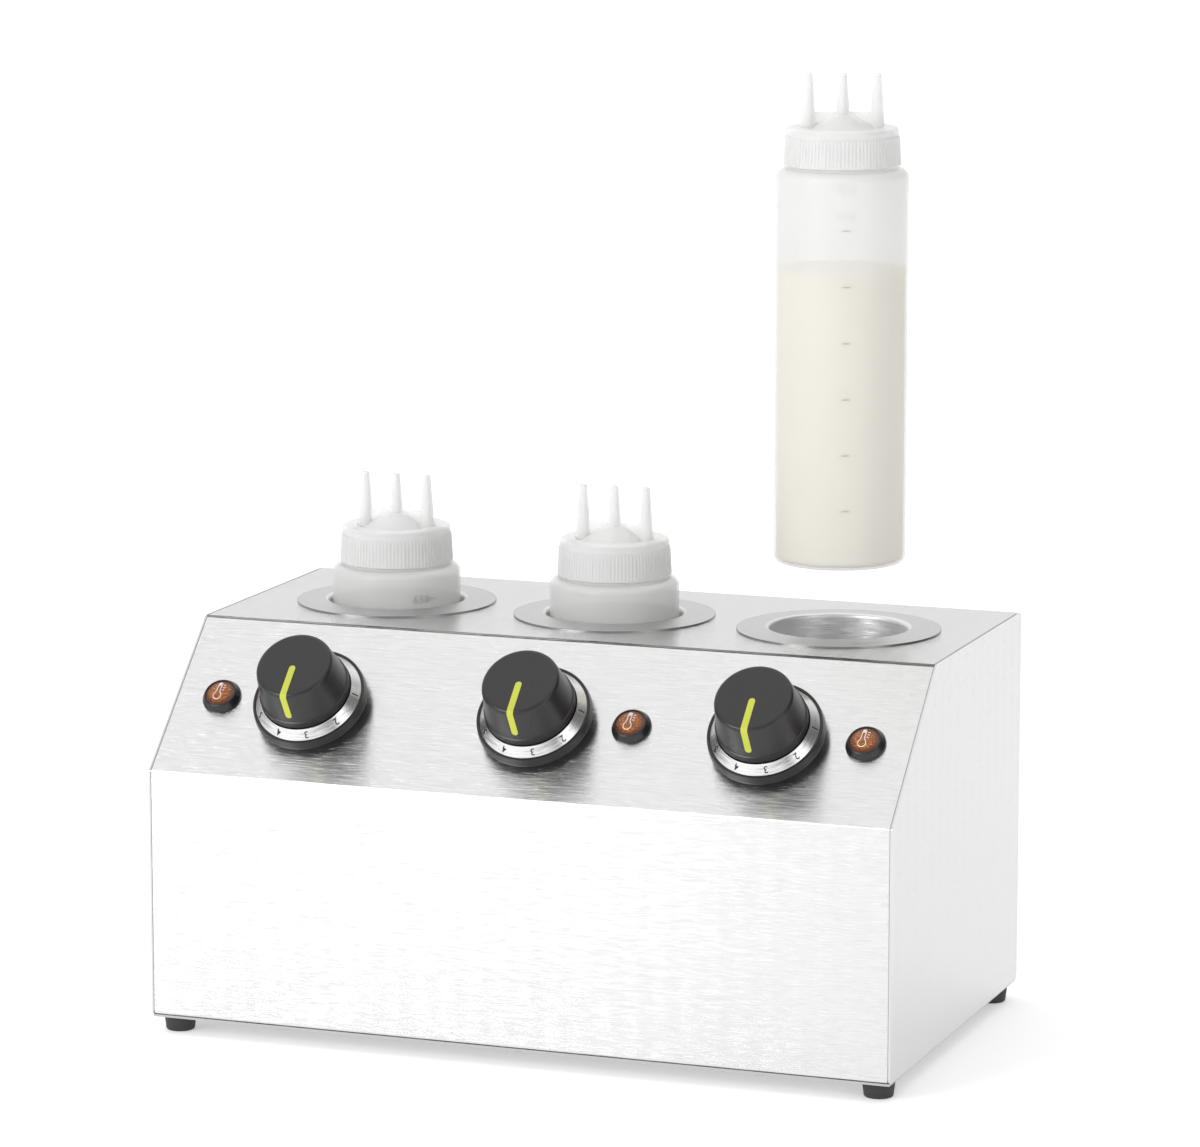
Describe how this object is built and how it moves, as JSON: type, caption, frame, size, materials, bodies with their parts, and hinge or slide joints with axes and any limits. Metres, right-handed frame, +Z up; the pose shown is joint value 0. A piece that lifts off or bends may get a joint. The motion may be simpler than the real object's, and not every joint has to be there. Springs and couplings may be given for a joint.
{
  "type": "squeeze bottle topping warmer",
  "caption": "Counter warmer with a sloping control panel, round heated wells for nozzle squeeze bottles, turning knobs and signal lamps.",
  "frame": {"origin": "middle of the whole model's box in X and Y, on the surface that the feet stand on", "axes": "+X to the right of a person facing the knobs, +Y from the knobs to the rear, +Z up"},
  "size_m": [0.4, 0.2448, 0.4954],
  "materials": {
    "casing_steel": "bright brushed stainless sheet, grain along X",
    "well_steel": "drawn and spun stainless",
    "base_steel": "plain sheet",
    "fastener_steel": "zinc-plated",
    "heater_steel": "heat-dulled sheath",
    "copper_tube": "drawn copper",
    "insulation_wool": "mineral wool",
    "foot_rubber": "moulded",
    "bezel_plastic": "fine satin",
    "knob_plastic": "fine satin",
    "pointer_plastic": "lime yellow, satin",
    "ring_silver": "fine brushed, black numbers",
    "lamp_plastic": "semi-gloss",
    "lens_amber": "clear amber with a prism pattern behind",
    "gland_plastic": "polyamide",
    "block_plastic": "polyamide",
    "thermostat_plastic": "phenolic",
    "spindle_steel": "turned",
    "bottle_plastic": "translucent natural polyethylene",
    "cap_plastic": "translucent natural polyethylene",
    "seal_silicone": "translucent silicone",
    "sauce_cream": "pale cream sauce"
  },
  "bodies": {
    "warmer": {"band_heater_left": "heater_steel", "band_heater_middle": "heater_steel", "band_heater_right": "heater_steel", "base_plate": "base_steel", "base_screws": "fastener_steel", "casing_wrap": "casing_steel", "cord_gland": "gland_plastic", "dial_bezel_left": "bezel_plastic", "dial_bezel_middle": "bezel_plastic", "dial_bezel_right": "bezel_plastic", "end_panel_left": "casing_steel", "end_panel_right": "casing_steel", "foot_front_left": "foot_rubber", "foot_front_right": "foot_rubber", "foot_nuts": "fastener_steel", "foot_rear_left": "foot_rubber", "foot_rear_right": "foot_rubber", "foot_screws": "fastener_steel", "front_panel": "casing_steel", "gland_locknut": "gland_plastic", "heater_straps": "fastener_steel", "insulation_sleeves": "insulation_wool", "lamp_bezels": "lamp_plastic", "lamp_clips": "fastener_steel", "lamp_lenses": "lens_amber", "number_rings": "ring_silver", "sensing_bulbs": "copper_tube", "strap_bolts": "fastener_steel", "terminal_block": "block_plastic", "thermostat_left": "thermostat_plastic", "thermostat_middle": "thermostat_plastic", "thermostat_right": "thermostat_plastic", "thermostat_screws": "fastener_steel", "well_clamp_rings": "fastener_steel", "well_left": "well_steel", "well_middle": "well_steel", "well_right": "well_steel"},
    "knob_unit_left": {"knob_left": "knob_plastic", "pointer_left": "pointer_plastic", "spindle_left": "spindle_steel"},
    "bottle_unit_left": {"bottle_left": "bottle_plastic", "sauce_left": "sauce_cream"},
    "seal_unit_left": {"cap_seal_left": "seal_silicone"},
    "cap_unit_left": {"bottle_cap_left": "cap_plastic"},
    "knob_unit_middle": {"knob_middle": "knob_plastic", "pointer_middle": "pointer_plastic", "spindle_middle": "spindle_steel"},
    "bottle_unit_middle": {"bottle_middle": "bottle_plastic", "sauce_middle": "sauce_cream"},
    "seal_unit_middle": {"cap_seal_middle": "seal_silicone"},
    "cap_unit_middle": {"bottle_cap_middle": "cap_plastic"},
    "knob_unit_right": {"knob_right": "knob_plastic", "pointer_right": "pointer_plastic", "spindle_right": "spindle_steel"},
    "bottle_unit_right": {"bottle_right": "bottle_plastic", "sauce_right": "sauce_cream"},
    "seal_unit_right": {"cap_seal_right": "seal_silicone"},
    "cap_unit_right": {"bottle_cap_right": "cap_plastic"}
  },
  "joints": [
    {"name": "knob_turn_left", "type": "hinge", "parent": "warmer", "child": "knob_unit_left", "pos_m": [-0.1222, -0.08325, 0.17127], "axis": [0, -0.6852, 0.7284], "range_deg": [-54, 132]},
    {"name": "bottle_lift_left", "type": "slide", "parent": "warmer", "child": "bottle_unit_left", "axis": [0, 0, 1], "range_m": [0, 0.219]},
    {"name": "cap_rise_left", "type": "slide", "parent": "bottle_unit_left", "child": "seal_unit_left", "axis": [0, 0, 1], "range_m": [0, 0.006]},
    {"name": "cap_twist_left", "type": "hinge", "parent": "seal_unit_left", "child": "cap_unit_left", "pos_m": [-0.1222, 0.03044, 0.2295], "axis": [0, 0, 1], "range_deg": [0, 540]},
    {"name": "knob_turn_middle", "type": "hinge", "parent": "warmer", "child": "knob_unit_middle", "pos_m": [0.0012, -0.08325, 0.17127], "axis": [0, -0.6852, 0.7284], "range_deg": [-54, 132]},
    {"name": "bottle_lift_middle", "type": "slide", "parent": "warmer", "child": "bottle_unit_middle", "axis": [0, 0, 1], "range_m": [0, 0.219]},
    {"name": "cap_rise_middle", "type": "slide", "parent": "bottle_unit_middle", "child": "seal_unit_middle", "axis": [0, 0, 1], "range_m": [0, 0.006]},
    {"name": "cap_twist_middle", "type": "hinge", "parent": "seal_unit_middle", "child": "cap_unit_middle", "pos_m": [0.0012, 0.03044, 0.2295], "axis": [0, 0, 1], "range_deg": [0, 540]},
    {"name": "knob_turn_right", "type": "hinge", "parent": "warmer", "child": "knob_unit_right", "pos_m": [0.1246, -0.08325, 0.17127], "axis": [0, -0.6852, 0.7284], "range_deg": [-54, 132]},
    {"name": "bottle_lift_right", "type": "slide", "parent": "warmer", "child": "bottle_unit_right", "axis": [0, 0, 1], "range_m": [-0.219, 0]},
    {"name": "cap_rise_right", "type": "slide", "parent": "bottle_unit_right", "child": "seal_unit_right", "axis": [0, 0, 1], "range_m": [0, 0.006]},
    {"name": "cap_twist_right", "type": "hinge", "parent": "seal_unit_right", "child": "cap_unit_right", "pos_m": [0.1246, 0.03044, 0.4485], "axis": [0, 0, 1], "range_deg": [0, 540]}
  ],
  "couplings": [
    {"joint": "cap_twist_left", "follows": "cap_rise_left", "rad_per_m": 1570},
    {"joint": "cap_twist_middle", "follows": "cap_rise_middle", "rad_per_m": 1570},
    {"joint": "cap_twist_right", "follows": "cap_rise_right", "rad_per_m": 1570}
  ]
}
